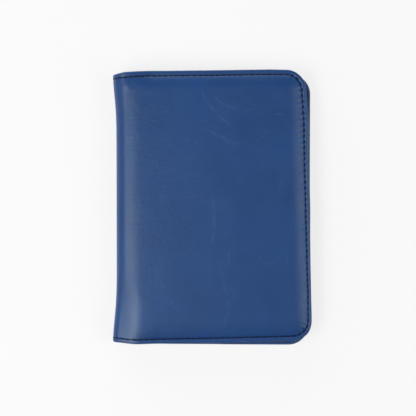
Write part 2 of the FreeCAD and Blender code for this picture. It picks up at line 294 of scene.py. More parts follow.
class Sheet:
    """One half of the cover leather as it lies closed: run goes from the spine's mid line to the
    fore edge, y from foot to head. side 1 is the front cover's half, -1 the back cover's.
    Depth is measured inwards from the crown, inset from the edge."""

    def __init__(self, side):
        self.side = side
        self.word = "front" if side > 0 else "back"
        self.tilt = -SLOPE if side > 0 else 0.0
        self.sections, self.section_y, lengths = [], [], []
        share = np.linspace(0, 1, SECTION_POINTS)
        for y, degrees, straight, turn in SLOPES[side]:
            run, x, z = self.fitted_section(math.radians(degrees), straight, turn)
            length = np.interp(FLAT_X, x, run)
            here = share * length
            self.sections.append((np.interp(here, run, x), np.interp(here, run, z)))
            self.section_y.append(y)
            lengths.append(length)
        self.panel_run = float(np.mean(lengths))
        self.width = self.panel_run + FORE_X[side] - self.own_x(FLAT_X)
        self.rim = Rim(self.width)
        self.stitch_count = round(self.rim.length / PITCH)
        self.pitch = self.rim.length / self.stitch_count
        seed = 21 if side > 0 else 22
        self.lumps = waves(seed, count=26, shortest=9, longest=46, height=0.5)
        self.puff = None

    def trace(self, radius, slope, straight, turn):
        """Run, x and height of a section with this spine radius."""
        arc = radius * (math.pi / 2 - slope)
        run = np.linspace(0, arc + straight + turn + 8, 1500)
        turned = (run - arc - straight) / turn
        turned = smooth(turned) * 0.3 + np.clip(turned, 0, 1) * 0.7
        tilt = np.where(run < arc, math.pi / 2 - run / radius, slope + (self.tilt - slope) * turned)
        tilt = (tilt[1:] + tilt[:-1]) / 2
        step = np.diff(run)
        x = SPINE_LO[0] + np.concatenate([[0], np.cumsum(np.cos(tilt) * step)])
        return run, x, np.concatenate([[0], np.cumsum(np.sin(tilt) * step)])

    def fitted_section(self, slope, straight, turn):
        """The section whose spine radius makes it end level with the cover panel."""
        low, high = 4.0, 8.0
        for _ in range(40):
            radius = (low + high) / 2
            _run, x, z = self.trace(radius, slope, straight, turn)
            goal = MID_Z
            if self.side > 0:
                goal = FRONT_ORIGIN[2] - (x[-1] - FRONT_ORIGIN[0]) * math.tan(SLOPE) - MID_Z
            low, high = (radius, high) if z[-1] < goal else (low, radius)
        return self.trace(low, slope, straight, turn)

    def section(self, run, y=0.0):
        """x, and height from the spine's mid height, of the cross-section at y."""
        run, y = spread(run, y)
        share = np.clip(run / self.panel_run, 0, 1) * (SECTION_POINTS - 1)
        i = np.minimum(share.astype(int), SECTION_POINTS - 2)
        part = share - i
        x, z, total = 0.0, 0.0, 0.0
        for (xs, zs), pick in zip(self.sections, np.eye(len(self.sections))):
            weight = knots(y, self.section_y, pick)
            x = x + weight * (xs[i] * (1 - part) + xs[i + 1] * part)
            z = z + weight * (zs[i] * (1 - part) + zs[i + 1] * part)
            total = total + weight
        beyond = np.maximum(run - self.panel_run, 0)
        return (x / total + beyond * math.cos(self.tilt),
                z / total + beyond * math.sin(self.tilt) + np.minimum(run, 0))

    def own_x(self, x):
        """Cover's own x coordinate: from the fold on the front, plain x on the back."""
        return (x - FRONT_ORIGIN[0]) / math.cos(SLOPE) if self.side > 0 else x

    def run_of(self, own_x):
        return self.width - (FORE_X[self.side] - own_x)

    def inset(self, run, y):
        return np.minimum(self.width - run, HALF - np.abs(y))

    def surface(self, run, y):
        """A point at depth 0."""
        run, y = spread(run, y)
        x, z = self.section(run, y)
        # the spine pulls in along the middle and flares at head and foot, where it is a little short
        head = y > 0
        inside = np.maximum(HALF - np.abs(y), 0)
        flare = np.where(head, 1.7, 2.0) * bell(inside, np.where(head, 16.0, 17.5))
        pull = 1.35 - flare - 0.007 * y
        short_head = 1.8 * (1 - smooth((run - 1) / 17.0))
        short_foot = 0.85 * (1 - smooth((run - 4) / 17.0))
        short = np.where(head, short_head, short_foot) * np.abs(y) / HALF
        spine = np.stack([x + pull, y - np.sign(y) * short, MID_Z + self.side * z], -1)
        if self.side > 0:
            panel = on_front(self.own_x(x), y, 0.0)
        else:
            panel = on_back(x, y, MID_Z - z)
        return spine + smooth((run - 6.0) / 14.0)[..., None] * (panel - spine)

    def normal(self, run, y):
        step = 0.04
        along_run = self.surface(run + step, y) - self.surface(run - step, y)
        along_y = self.surface(run, y + step) - self.surface(run, y - step)
        normal = np.cross(along_run, along_y) * self.side
        return normal / np.linalg.norm(normal, axis=-1, keepdims=True)

    def point(self, run, y, depth):
        return self.surface(run, y) - self.normal(run, y) * np.asarray(depth, float)[..., None]

    def flat(self, run):
        """0 on the spine, 1 on the cover panel."""
        start = SPINE_RUN - 1.0
        return smooth((run - start) / (self.panel_run + 2.0 - start))

    def margin(self, run):
        return FLANGE * self.flat(run)

    def lined(self, run, y):
        """What the lining lies deeper than LINING_DEPTH: level with the board before the board's
        edge, and down on the margin along head and foot."""
        start = SPINE_RUN - 1.0
        edge = self.run_of(BOARD_X if self.side > 0 else BOARD_LO[0]) - 0.6
        deep = FLANGE * smooth((run - start) / (edge - start))
        inside = smooth((HALF - np.abs(y) - 2.9) / 2.2)
        return self.margin(run) + (deep - self.margin(run)) * inside

    def pad(self, run, y, inset):
        """How far the padding drops towards the seam: 1 at the seam, 0 on the flat. Short at the
        head, long and gentle at the foot."""
        near = np.stack(spread(HALF - y, HALF + y, self.width - run))
        near = np.exp(-(near - near.min(0)) / 3.0)
        head, foot, fore = near / near.sum(0)
        width = 6.6 * head + 10.5 * foot + 9.0 * fore
        power = 1.9 * head + 2.4 * foot + 2.2 * fore
        return (1 - np.clip((inset - SEAM - 0.4 * head) / width, 0, 1)) ** power

    def crown(self, run, y, inset):
        """Depth of the outer face, without the seam's groove."""
        depth = self.margin(run) * self.pad(run, y, inset)
        # the margin between seam and edge is rounded, more so at the fore edge
        roll = 0.13 + 0.08 * smooth((run - self.width + 9.0) / 5.0)
        depth = depth - roll * np.sin(np.pi * np.clip((inset - 0.5) / (SEAM - 0.5), 0, 1))
        # soft lumps on the field, over a slight swell on the front
        live = smooth((inset - SEAM) / 9.0) * self.flat(run)
        lump = live * (1 + self.lumps(run, y))
        if self.side < 0:
            depth = depth + 0.012 * lump
        else:
            swell = 0.08 * live * np.clip(1 - (y / HALF) ** 2, 0, 1)
            depth = depth - swell - 0.06 * lump
            for bump_run, bump_y, size, height in BUMPS:
                away = (run - bump_run) ** 2 + (y - bump_y) ** 2
                depth = depth - height * np.exp(-away / (2 * size ** 2))
        if self.puff is not None:
            depth = depth - PUFF_HEIGHT * self.puff(run, y)
        return depth

    def headward(self, along):
        """1 on the head's part of the seam, 0 on foot and fore edge."""
        return smooth((along - (self.rim.length - self.rim.straight - 6.0)) / 6.0)

    def foreward(self, along):
        """1 on the fore edge's part of the seam."""
        start = self.rim.straight - 2.0
        return smooth((along - start) / 6.0) * smooth((self.rim.length - start - along) / 6.0)

    def inward(self, along):
        """The seam along the head lies a little further in, except at the spine."""
        return 0.36 * self.headward(along) * smooth((self.rim.length - along - 2.0) / 9.0)

    def groove(self, inset, along):
        """The seam pulls a groove, deepest under the middle of each stitch, and puckers the
        leather beside it, most where two stitches meet."""
        fore = self.foreward(along)
        off = inset - SEAM - self.inward(along)
        turn = 2 * np.pi * along / self.pitch
        middle = 0.5 - 0.5 * np.cos(turn)
        dip = (0.16 + 0.24 * middle ** 2) * (0.3 + 0.7 * fore) * bell(off, 0.42)
        wide = 0.08 * bell(off, 1.1)
        # slow changes along the seam, in the puckers' height and in their direction
        uneven = (0.85 + 0.45 * np.cos(along * 0.173 + 1.3) * np.cos(along * 0.061)
                  + 0.4 * np.cos(along * 0.83 + 0.4))
        drift = 0.5 * np.cos(along * 0.41 + 2.0) + 0.4 * np.cos(along * 1.13)
        between = 0.5 + 0.5 * np.cos(turn + 0.5 * drift * np.clip(off, 0, 3))
        pucker = (0.17 * between ** 2 * bell(off - 0.95, 0.6)
                  + 0.07 * (between - 0.4) * np.exp(-np.abs(off - 1.9) / 1.6)
                  + 0.05 * between * bell(off + 0.9, 0.5))
        return dip + wide - pucker * uneven * (0.12 + 0.88 * fore)


# ---------------------------------------------------------------- pressed-out padding
def quads(first, columns, rows=1):
    """Faces of a grid of points laid row by row, for so many strips of it."""
    return [(k, k + columns, k + columns + 1, k + 1)
            for i in range(rows)
            for k in range(first + i * columns, first + (i + 1) * columns - 1)]


def grid_field(xs, ys, values):
    """The values of an even grid as a function of (x, y), softly interpolated."""
    def field(x, y):
        cells = []
        for at, grid in zip(spread(x, y), (xs, ys)):
            place = np.clip((at - grid[0]) / (grid[1] - grid[0]), 0, len(grid) - 1.001)
            cell = place.astype(int)
            cells += [cell, smooth(place - cell) * 0.5 + (place - cell) * 0.5]
        i, right, j, up = cells
        return (values[i, j] * (1 - right) * (1 - up) + values[i + 1, j] * right * (1 - up)
                + values[i, j + 1] * (1 - right) * up + values[i + 1, j + 1] * right * up)

    return field


def blown_cloth(sheet):
    """The padding's own shape: a sheet of leather held by the stitches along the seam, and along
    the fold, is pressed out by the foam under it. Gives its height, 0 to 1, over (run, y)."""
    step = 2.2
    units = 10                               # mm per unit: ten times size suits the solver
    end, top = sheet.width - SEAM, HALF - SEAM
    runs = np.linspace(SPINE_RUN, end, round((end - SPINE_RUN) / step) + 1)
    ys = np.linspace(-top, top, round(2 * top / step) + 1)
    run, y = np.meshgrid(runs, ys, indexing="ij")
    start = 0.02 + 0.01 * np.random.default_rng(5).random(run.shape)
    mesh = bpy.data.meshes.new("blown")
    mesh.from_pydata(list(zip(run.ravel() / units, y.ravel() / units, start.ravel())), [],
                     quads(0, len(ys), len(runs) - 1))
    cloth = bpy.data.objects.new("blown", mesh)
    scene = bpy.context.scene
    scene.collection.objects.link(cloth)
    outward = np.hypot(np.maximum(run - (sheet.width - CORNER), 0),
                       np.maximum(np.abs(y) - (HALF - CORNER), 0))
    held = (outward >= CORNER - SEAM - 0.4) | (run < SPINE_RUN + 0.5)
    group = cloth.vertex_groups.new(name="held")
    group.add([int(i) for i in np.flatnonzero(held.ravel())], 1.0, "REPLACE")
    modifier = cloth.modifiers.new("cloth", "CLOTH")
    settings = modifier.settings
    settings.quality = 6
    settings.mass = 0.4
    settings.tension_stiffness = 18
    settings.compression_stiffness = 18
    settings.shear_stiffness = 8
    settings.bending_stiffness = 1.2
    settings.air_damping = 2.0
    settings.vertex_group_mass = "held"
    settings.shrink_min = -0.014
    settings.use_pressure = True
    settings.uniform_pressure_force = 1.6
    settings.effector_weights.gravity = 0
    modifier.collision_settings.use_self_collision = False
    for i in range(1, 21):
        scene.frame_set(i)
    settled = cloth.evaluated_get(bpy.context.evaluated_depsgraph_get())
    height = np.array([vertex.co.z for vertex in settled.data.vertices]).reshape(run.shape)
    bpy.data.objects.remove(cloth)
    bpy.data.meshes.remove(mesh)
    scene.frame_set(1)
    height = height - height[held].mean()
    return grid_field(runs, ys, height / max(abs(height).max(), 1e-6))


# ---------------------------------------------------------------- mesh making
def make(name, points, faces, sheet, inset=None, sharp=40):
    """An object from points in mm. sheet holds each point's place on its material laid flat, inset
    its distance from the edge; edges bent more than sharp degrees stay sharp."""
    mesh = bpy.data.meshes.new(name)
    mesh.from_pydata([tuple(point) for point in np.asarray(points) * MM], [], faces)
    mesh.update()
    layer = mesh.attributes.new("sheet", "FLOAT_VECTOR", "POINT")
    layer.data.foreach_set("vector", np.asarray(sheet * MM, np.float32).ravel())
    if inset is not None:
        layer = mesh.attributes.new("inset", "FLOAT", "POINT")
        layer.data.foreach_set("value", np.asarray(inset, np.float32))
    shell = bmesh.new()
    shell.from_mesh(mesh)
    bmesh.ops.recalc_face_normals(shell, faces=shell.faces)
    limit = math.radians(sharp)
    for edge in shell.edges:
        edge.smooth = not (len(edge.link_faces) == 2 and edge.calc_face_angle(0.0) > limit)
    shell.to_mesh(mesh)
    shell.free()
    mesh.polygons.foreach_set("use_smooth", [True] * len(mesh.polygons))
    mesh.update()
    piece = bpy.data.objects.new(name, mesh)
    bpy.context.scene.collection.objects.link(piece)
    return piece


class Builder:
    """Gathers points, with their places on the flat material, and faces."""

    def __init__(self):
        self.points, self.faces, self.sheet, self.inset = [], [], [], []
        self.count = 0

    def add(self, points, flat_x, flat_y, layer, inset):
        """Adds points and gives the index of the first. layer sets pieces apart in textures."""
        points = np.asarray(points).reshape(-1, 3)
        first = self.count
        self.points.append(points)
        self.sheet.append(np.stack(spread(flat_x, flat_y, layer), -1).reshape(-1, 3))
        self.inset.append(np.broadcast_to(np.asarray(inset, float).ravel(), (len(points),)))
        self.count += len(points)
        return first

    def make(self, name):
        return make(name, np.concatenate(self.points), self.faces, np.concatenate(self.sheet),
                    np.concatenate(self.inset))


# Insets of the leather's rings of points, from the padded field out to the edge.
PAD_RINGS = (9.0, 8.2, 7.4, 6.6, 5.9, 5.2, 4.6, 4.05, 3.6, 3.25, 2.98, 2.76, 2.58, SEAM)
MARGIN_RINGS = (2.22, 2.04, 1.84, 1.6, 1.35, 1.1, 0.88, 0.7)
# Then back in along the turned hem, and round its free end: inset, share of the hem's thickness.
HEM_RINGS = (1.3, 2.0, 2.4, 2.9, 3.4, 3.8, 3.95)
HEM_END = ((4.08, 0.92), (4.12, 0.75), (4.08, 0.55), (3.95, 0.2), (3.6, 0.04), (3.1, 0.03))


def leather_rings(sheet, builder):
    """The rings from the field's rim over the edge to the hidden inner face. Gives the index of
    each ring's first point."""
    rim, rings = sheet.rim, []

    def ring(inset, depth, flat_inset):
        """flat_inset is the ring's inset on the leather laid flat."""
        run, y = rim.ring(inset)
        rings.append(builder.add(sheet.point(run, y, depth(run, y)), *rim.ring(flat_inset),
                                 sheet.side * 200.0, flat_inset))

    for inset in PAD_RINGS + MARGIN_RINGS:
        ring(inset, lambda run, y: sheet.crown(run, y, inset) + sheet.groove(inset, rim.along),
             inset)
    # turned edge and hem: inset, depth below the margin, flat inset
    radius = EDGE / 2
    hem_start = radius - radius * math.pi
    turned = [(radius - radius * math.sin(angle), radius - radius * math.cos(angle),
               radius - radius * angle) for angle in np.linspace(0, math.pi, 9)[1:]]
    for inset, share in [(inset, 1.0) for inset in HEM_RINGS] + list(HEM_END):
        turned.append((inset, SKIN + HEM * share, hem_start - (inset - radius)))
    for inset, depth, flat_inset in turned:
        ring(inset, lambda run, y: sheet.margin(run) + depth, flat_inset)
    for inset in reversed(PAD_RINGS):
        ring(inset, lambda run, y: sheet.margin(run) * sheet.pad(run, y, inset) + SKIN, inset + 40)
    for one, two in zip(rings[:-1], rings[1:]):
        for i in range(rim.count - 1):
            builder.faces.append((one + i, one + i + 1, two + i + 1, two + i))
    return rings


def leather_field(sheet, builder, ring, run, y, picks, depth, layer, inset):
    """A coarse grid inside one ring, joined to it. picks are the ring samples its lines meet."""
    rim, faces = sheet.rim, builder.faces
    run_picks, y_picks = picks
    first = builder.add(sheet.point(run, y, depth), run, y, layer, inset)
    columns, last = len(y_picks), len(run_picks) - 1
    # foot and head: ring's first sample, direction along the ring, grid column
    ends = ((ring, 1, 0), (ring + rim.count - 1, -1, columns - 1))
    for i in range(last):
        here = first + i * columns
        faces.extend(quads(here, columns))
        for start, step, j in ends:
            arc = [start + step * k for k in range(run_picks[i], run_picks[i + 1] + 1)]
            faces.append(tuple(arc + [here + columns + j, here + j]))
    corner_end = len(rim.runs) + len(rim.angles)
    here = first + last * columns
    for j in range(columns - 1):
        arc = [ring + corner_end + k for k in range(y_picks[j], y_picks[j + 1] + 1)]
        faces.append(tuple(arc + [here + j + 1, here + j]))
    for k in range(len(rim.runs) - 1, corner_end):
        for start, step, j in ends:
            faces.append((start + step * k, start + step * (k + 1), here + j))
    return first


def cover_leather(sheet):
    """The leather of one half as a closed shell: padded outer face, stitched margin, edge turned
    round to the inside and its free hem, and the hidden inner face."""
    rim, builder = sheet.rim, Builder()
    rings = leather_rings(sheet, builder)
    run_count, y_count = len(rim.runs), len(rim.fore_y)
    run_picks = [i for i in range(run_count)
                 if rim.runs[i] < 24 or i % 4 == 0 or i == run_count - 1]
    y_picks = sorted(set(range(0, y_count, 4)) | {y_count - 1})
    run, y = np.meshgrid(rim.runs[run_picks], rim.fore_y[y_picks], indexing="ij")
    inset, layer = sheet.inset(run, y), sheet.side * 200.0
    # both fields' points come before their faces' order matters only within each field
    outer = leather_field(sheet, builder, rings[0], run, y, (run_picks, y_picks),
                          sheet.crown(run, y, inset), layer, inset)
    inner = leather_field(sheet, builder, rings[-1], run, y, (run_picks, y_picks),
                          np.full(run.shape, SKIN), layer + 40, 30.0)
    # the cut face on the spine's mid line
    faces, pads, last = builder.faces, len(PAD_RINGS), len(y_picks) - 1
    for end in (0, rim.count - 1):
        for k in range(pads - 1):
            strip = (rings[k], rings[k + 1], rings[-2 - k], rings[-1 - k])
            faces.append(tuple(first + end for first in strip))
        faces.append(tuple(first + end for first in rings[pads - 1:1 - pads]))
    for j in range(last):
        faces.append((outer + j, outer + j + 1, inner + j + 1, inner + j))
    for end, j in ((0, 0), (rim.count - 1, last)):
        faces.append((rings[0] + end, rings[-1] + end, inner + j, outer + j))
    return builder.make("cover_leather_" + sheet.word)


def round_corners(x, y, inset, sides):
    """Bends a grid round the fore corners on the given sides, -1 foot and 1 head."""
    corner = CORNER - inset
    corner_x, corner_y = x.max() - corner, HALF - inset - corner
    bent_x, bent_y = x.copy(), y.copy()
    for side in sides:
        inside = (x > corner_x) & (y * side > corner_y)
        out_x, out_y = x - corner_x, y * side - corner_y
        # squares become circles: a point at square radius r goes to the circle of radius r
        radius = np.maximum(out_x, out_y)
        angle = np.where(out_x >= out_y, (math.pi / 4) * out_y / np.maximum(out_x, 1e-9),
                         math.pi / 2 - (math.pi / 4) * out_x / np.maximum(out_y, 1e-9))
        bent_x = np.where(inside, corner_x + radius * np.cos(angle), bent_x)
        bent_y = np.where(inside, side * (corner_y + radius * np.sin(angle)), bent_y)
    return bent_x, bent_y


def grid_slab(name, place, xs, ys, face, back, layer, inset=0.0, corners=()):
    """A closed panel with a rounded rim over a grid of lines. face and back give its two depths
    as functions of (x, y); inset is the outline's, in from the cover's edge."""
    x, y = np.meshgrid(xs, ys, indexing="ij")
    bent_x, bent_y = round_corners(x, y, inset, corners)
    face_depth, back_depth, _ = spread(face(x, y), back(x, y), x)
    builder = Builder()
    edge = np.minimum(np.minimum(x - x.min(), x.max() - x), np.minimum(y - y.min(), y.max() - y))
    top = builder.add(place(bent_x, bent_y, face_depth), bent_x, bent_y, layer, edge)
    bottom = builder.add(place(bent_x, bent_y, back_depth), bent_x, bent_y, layer + 30.0, edge + 20)
    rows, columns = x.shape
    for first in (top, bottom):
        builder.faces += quads(first, columns, rows - 1)

    loop = ([(i, 0) for i in range(rows)] + [(rows - 1, j) for j in range(1, columns)]
            + [(i, columns - 1) for i in range(rows - 2, -1, -1)]
            + [(0, j) for j in range(columns - 2, 0, -1)])
    at = tuple(np.array(loop).T)
    rim_x, rim_y = bent_x[at], bent_y[at]
    along_x = np.roll(rim_x, -1) - np.roll(rim_x, 1)
    along_y = np.roll(rim_y, -1) - np.roll(rim_y, 1)
    length = np.hypot(along_x, along_y)
    out_x, out_y = along_y / length, -along_x / length
    rim_face, rim_back = face_depth[at], back_depth[at]
    thick = np.abs(rim_back - rim_face)
    chain = [[top + i * columns + j for i, j in loop]]
    for turn in (0.2, 0.5, 0.8):
        bulge = 0.5 * thick * math.sin(turn * math.pi)
        depth = (rim_face + rim_back) / 2 + (rim_face - rim_back) / 2 * math.cos(turn * math.pi)
        first = builder.add(place(rim_x + out_x * bulge, rim_y + out_y * bulge, depth),
                            rim_x + out_x * 0.6 * turn, rim_y + out_y * 0.6 * turn, layer, -turn)
        chain.append([first + k for k in range(len(loop))])
    chain.append([bottom + i * columns + j for i, j in loop])
    for one, two in zip(chain[:-1], chain[1:]):
        for k in range(len(loop)):
            after = (k + 1) % len(loop)
            builder.faces.append((one[k], one[after], two[after], two[k]))
    return builder.make(name)


def unit(vectors):
    return vectors / np.linalg.norm(vectors, axis=-1, keepdims=True)


def stitches(name, starts, pitch, place, slant=0.2, radius=0.31, gap=0.5, height=0.15, dive=0.55):
    """A row of separate stitches. starts lists where they begin along the seam; place(along, off,
    height) gives points. gap is left at each end, and the ends dive below the middle's height."""
    rings, sides = 13, 10

    def column(values):
        return np.broadcast_to(np.asarray(values, float), starts.shape)[:, None]

    gap, radius, slant, dive = (column(values) for values in (gap, radius, slant, dive))
    share = np.linspace(0, 1, rings)
    length = (pitch - 2 * gap) * share[None, :]
    along = starts[:, None] + gap + length
    off = slant * (1 - 2 * share)
    rise = height - dive * np.abs(2 * share - 1) ** 5
    centre = place(along, off, rise)
    tangent = unit(np.gradient(centre, axis=1))
    normal = place(along, off, rise + 0.1) - centre
    normal = unit(normal - (normal * tangent).sum(-1, keepdims=True) * tangent)
    across = np.cross(tangent, normal)
    # the round section tapers at the ends and carries the thread's two plies
    angle = np.linspace(0, 2 * math.pi, sides, endpoint=False)
    taper = 1 - 0.35 * np.abs(2 * share - 1) ** 4
    twist = 2 * math.pi * length / 1.35
    plies = 1 + 0.11 * np.cos(2 * (angle[None, None, :] - twist[:, :, None]))
    size = (radius * taper[None, :])[:, :, None] * plies
    points = (centre[:, :, None, :] + normal[:, :, None, :] * (size * np.sin(angle))[..., None] * 0.9
              + across[:, :, None, :] * (size * np.cos(angle))[..., None])
    faces = []
    for first in range(0, len(starts) * rings * sides, rings * sides):
        for i in range(first, first + (rings - 1) * sides, sides):
            for j in range(sides):
                after = (j + 1) % sides
                faces.append((i + j, i + after, i + sides + after, i + sides + j))
        faces.append(tuple(first + j for j in reversed(range(sides))))
        faces.append(tuple(first + (rings - 1) * sides + j for j in range(sides)))
    sheet = np.zeros((len(starts), rings, sides, 3))
    sheet[..., 0] = along[:, :, None]
    sheet[..., 1] = angle[None, None, :] * 0.24
    sheet[..., 2] = np.arange(len(starts))[:, None, None] * 3.7
    return make(name, points.reshape(-1, 3), faces, sheet.reshape(-1, 3), sharp=180)


# ---------------------------------------------------------------- shader nodes
def put(socket, value):
    """Links a socket to the input, or sets its value; colours may leave out alpha."""
    if isinstance(value, bpy.types.NodeSocket):
        socket.id_data.links.new(value, socket)
        return
    if socket.type == "RGBA" and len(value) == 3:
        value = (*value, 1.0)
    socket.default_value = value


def add_node(tree, kind, inputs=None, output=0, **settings):
    """Adds a shader node and gives one of its outputs."""
    node = tree.nodes.new("ShaderNode" + kind)
    for key, value in settings.items():
        setattr(node, key, value)
    for key, value in (inputs or {}).items():
        put(node.inputs[key], value)
    return node.outputs[output]


class Material:
    """A material with one Principled shader, and short ways to add nodes to it."""

    def __init__(self, name):
        self.data = bpy.data.materials.new(name)
        self.data.use_nodes = True
        self.tree = self.data.node_tree
        self.tree.nodes.clear()
        self.output = self.tree.nodes.new("ShaderNodeOutputMaterial").inputs[0]
        self.shader = self.node("BsdfPrincipled")
        put(self.output, self.shader)

    def surface(self, **inputs):
        for key, value in inputs.items():
            put(self.shader.node.inputs[key.replace("_", " ")], value)

    def node(self, kind, inputs=None, output=0, **settings):
        return add_node(self.tree, kind, inputs, output, **settings)

    def math(self, operation, *values):
        return self.node("Math", dict(enumerate(values)), operation=operation)

    def plus(self, one, two):
        return self.math("ADD", one, two)

    def minus(self, one, two):
        return self.math("SUBTRACT", one, two)

    def times(self, one, two):
        return self.math("MULTIPLY", one, two)

    def vector_math(self, operation, one, two):
        return self.node("VectorMath", {0: one, 1: two}, operation=operation)

    def attribute(self, name, output="Vector"):
        return self.node("Attribute", output=output, attribute_name=name)

    def split(self, vector):
        return self.node("SeparateXYZ", {0: vector}).node.outputs

    def map(self, vector, scale=(1, 1, 1), turn=0.0, move=(0, 0, 0), kind="POINT"):
        """Mapping; turn is about z."""
        return self.node("Mapping", {"Vector": vector, "Scale": scale, "Rotation": (0, 0, turn),
                                     "Location": move}, vector_type=kind)

    def noise(self, vector, scale, detail=3.0, rough=0.55, distort=0.0, output="Fac"):
        return self.node("TexNoise", {"Vector": vector, "Scale": scale, "Detail": detail,
                                      "Roughness": rough, "Distortion": distort}, output)

    def voronoi(self, vector, scale):
        return self.node("TexVoronoi", {"Vector": vector, "Scale": scale}, "Distance")

    def wave(self, vector, scale, distort, axis="X"):
        return self.node("TexWave", {"Vector": vector, "Scale": scale, "Distortion": distort,
                                     "Detail": 1.0}, "Fac", bands_direction=axis)

    def ramp(self, value, over, to=(0, 1)):
        """Smooth step from to[0] to to[1] as the value crosses the range over."""
        return self.node("MapRange", dict(enumerate((value, *over, *to))),
                         interpolation_type="SMOOTHSTEP")

    def mix(self, share, one, two):
        return self.node("Mix", {0: share, 6: one, 7: two}, 2, data_type="RGBA")

    def bump(self, height, distance, strength, normal=None):
        inputs = {"Height": height, "Distance": distance, "Strength": strength}
        if normal is not None:
            inputs["Normal"] = normal
        return self.node("Bump", inputs)


# ---------------------------------------------------------------- leather
# Pull-up marks on the front, where the leather has been bent: strength, then points (run, y) in mm.
MARKS = (
    (0.9, (52.0, 62.1), (53.5, 55.4), (59.4, 49.4), (66.4, 41.4)),
    (0.8, (57.7, 57.7), (63.0, 54.0), (71.0, 51.8)),
    (1.0, (54.4, 40.5), (60.0, 37.8), (66.4, 33.4), (70.5, 33.4)),
    (0.7, (40.0, 35.9), (45.7, 35.7), (49.5, 33.6)),
    (0.7, (88.3, 48.4), (96.1, 49.0)),
    (0.5, (18.4, 62.5), (27.6, 57.6)),
    (0.6, (29.7, 50.7), (35.5, 50.6)),
    (0.6, (72.4, 48.5), (79.7, 51.6)),
    (0.5, (49.3, 45.3), (56.5, 45.3)),
    (1.0, (55.9, 7.0), (56.4, -3.5), (56.5, -12.5), (55.7, -19.4)),
    (0.7, (58.4, -27.4), (60.8, -39.0), (63.3, -48.6), (63.6, -53.7), (60.4, -65.5)),
    (0.7, (64.3, -22.3), (64.0, -32.8)),
    (0.6, (68.0, -40.8), (65.4, -49.6)),
    (0.6, (24.3, -29.4), (30.6, -45.4), (38.5, -56.5), (45.3, -58.7)),
    (0.5, (29.0, 9.1), (27.8, -3.0)),
    (0.4, (42.5, -0.6), (43.5, -6.7)),
    (0.6, (79.4, -23.5), (81.4, -30.5), (89.6, -29.3)),
    (0.5, (93.8, 16.0), (90.7, 6.5)),
    (0.4, (94.5, -17.5), (94.0, -38.8)),
    (0.4, (86.0, -44.9), (86.5, -54.5)),
)
# Faint thin streaks: angle, noise scale along and across them, noise level where they begin.
STREAKS = ((0.62, 42, 760, 0.685), (-0.5, 36, 900, 0.70), (0.12, 30, 1100, 0.705),
           (1.15, 46, 820, 0.70), (-1.1, 60, 1300, 0.69))


def mark_field(mat, sheet):
    """The marks as soft-ended streaks, each a stretched ball in the leather's own coordinates."""
    colour = mat.noise(sheet, scale=130, detail=2, rough=0.5, output="Color")
    wobble = mat.vector_math("SUBTRACT", colour, (0.5, 0.5, 0.5))
    wobble = mat.vector_math("MULTIPLY", wobble, (0.0042, 0.0042, 0.0))
    vector = mat.vector_math("ADD", sheet, wobble)
    total = None
    for strength, *points in MARKS:
        for (x0, y0), (x1, y1) in zip(points[:-1], points[1:]):
            length = math.hypot(x1 - x0, y1 - y0)
            ball = mat.map(vector, kind="TEXTURE",
                           move=((x0 + x1) / 2 * MM, (y0 + y1) / 2 * MM, 0.2),
                           turn=math.atan2(y1 - y0, x1 - x0),
                           scale=((length * 0.62 + 0.8) * MM, 1.15 * MM, 0.01))
            mark = mat.node("TexGradient", {"Vector": ball}, "Fac", gradient_type="SPHERICAL")
            mark = mat.times(mark, strength)
            total = mark if total is None else mat.math("MAXIMUM", total, mark)
    gaps = mat.noise(mat.map(sheet, move=(7, 2, 0)), scale=620, detail=2, rough=0.6)
    broken = mat.ramp(gaps, over=(0.34, 0.6), to=(0.45, 1.0))
    return mat.times(mat.ramp(total, over=(0.08, 0.75)), broken)


def streak_field(mat, sheet):
    total = None
    for k, (angle, along, across, level) in enumerate(STREAKS):
        vector = mat.map(sheet, turn=angle, move=(0.37 * k, 0.11 * k, 0))
        vector = mat.map(vector, scale=(along, across, 1))
        line = mat.noise(vector, scale=1.0, detail=1.5, rough=0.5, distort=0.25)
        line = mat.ramp(line, over=(level, level + 0.07))
        where = mat.noise(mat.map(sheet, move=(5 + 2 * k, 9, 0)), scale=30, detail=2)
        line = mat.times(line, mat.ramp(where, over=(0.5, 0.62)))
        total = line if total is None else mat.math("MAXIMUM", total, line)
    return total


def crease_painted_shade(mat, sheet, inset):
    """Along head and foot the needle line is a nearly closed crease, darkened by painted shade."""
    x, y, _ = mat.split(sheet)
    shift = mat.times(mat.ramp(y, over=(0, 0.01)), mat.ramp(x, over=(0.002, 0.011)))
    off = mat.minus(inset, mat.plus(mat.times(shift, 0.36), SEAM))
    near = mat.ramp(mat.math("ABSOLUTE", off), over=(0.12, 0.45), to=(1, 0))
    return mat.times(near, mat.ramp(mat.math("ABSOLUTE", y), over=(0.060, 0.067))), x, y


def foot_polish(mat, x, y):
    """1 at the foot of the spine, where the leather is glossier."""
    off_x = mat.times(mat.plus(x, -0.0145), 155.0)
    off_y = mat.times(mat.plus(y, 0.066), 75.0)
    away = mat.plus(mat.times(off_x, off_x), mat.times(off_y, off_y))
    return mat.ramp(away, over=(0.2, 3.0), to=(1, 0))


def spine_creases(mat, sheet, normal):
    """Fine creases across the spine, where the leather bends round it."""
    x = mat.split(sheet)[0]
    creases = mat.noise(mat.map(sheet, scale=(70, 520, 1)), scale=1.0, rough=0.6, distort=0.3)
    near = mat.ramp(x, over=(0.016, 0.027), to=(1, 0))
    return mat.bump(mat.times(creases, near), distance=0.00016, strength=0.6, normal=normal)


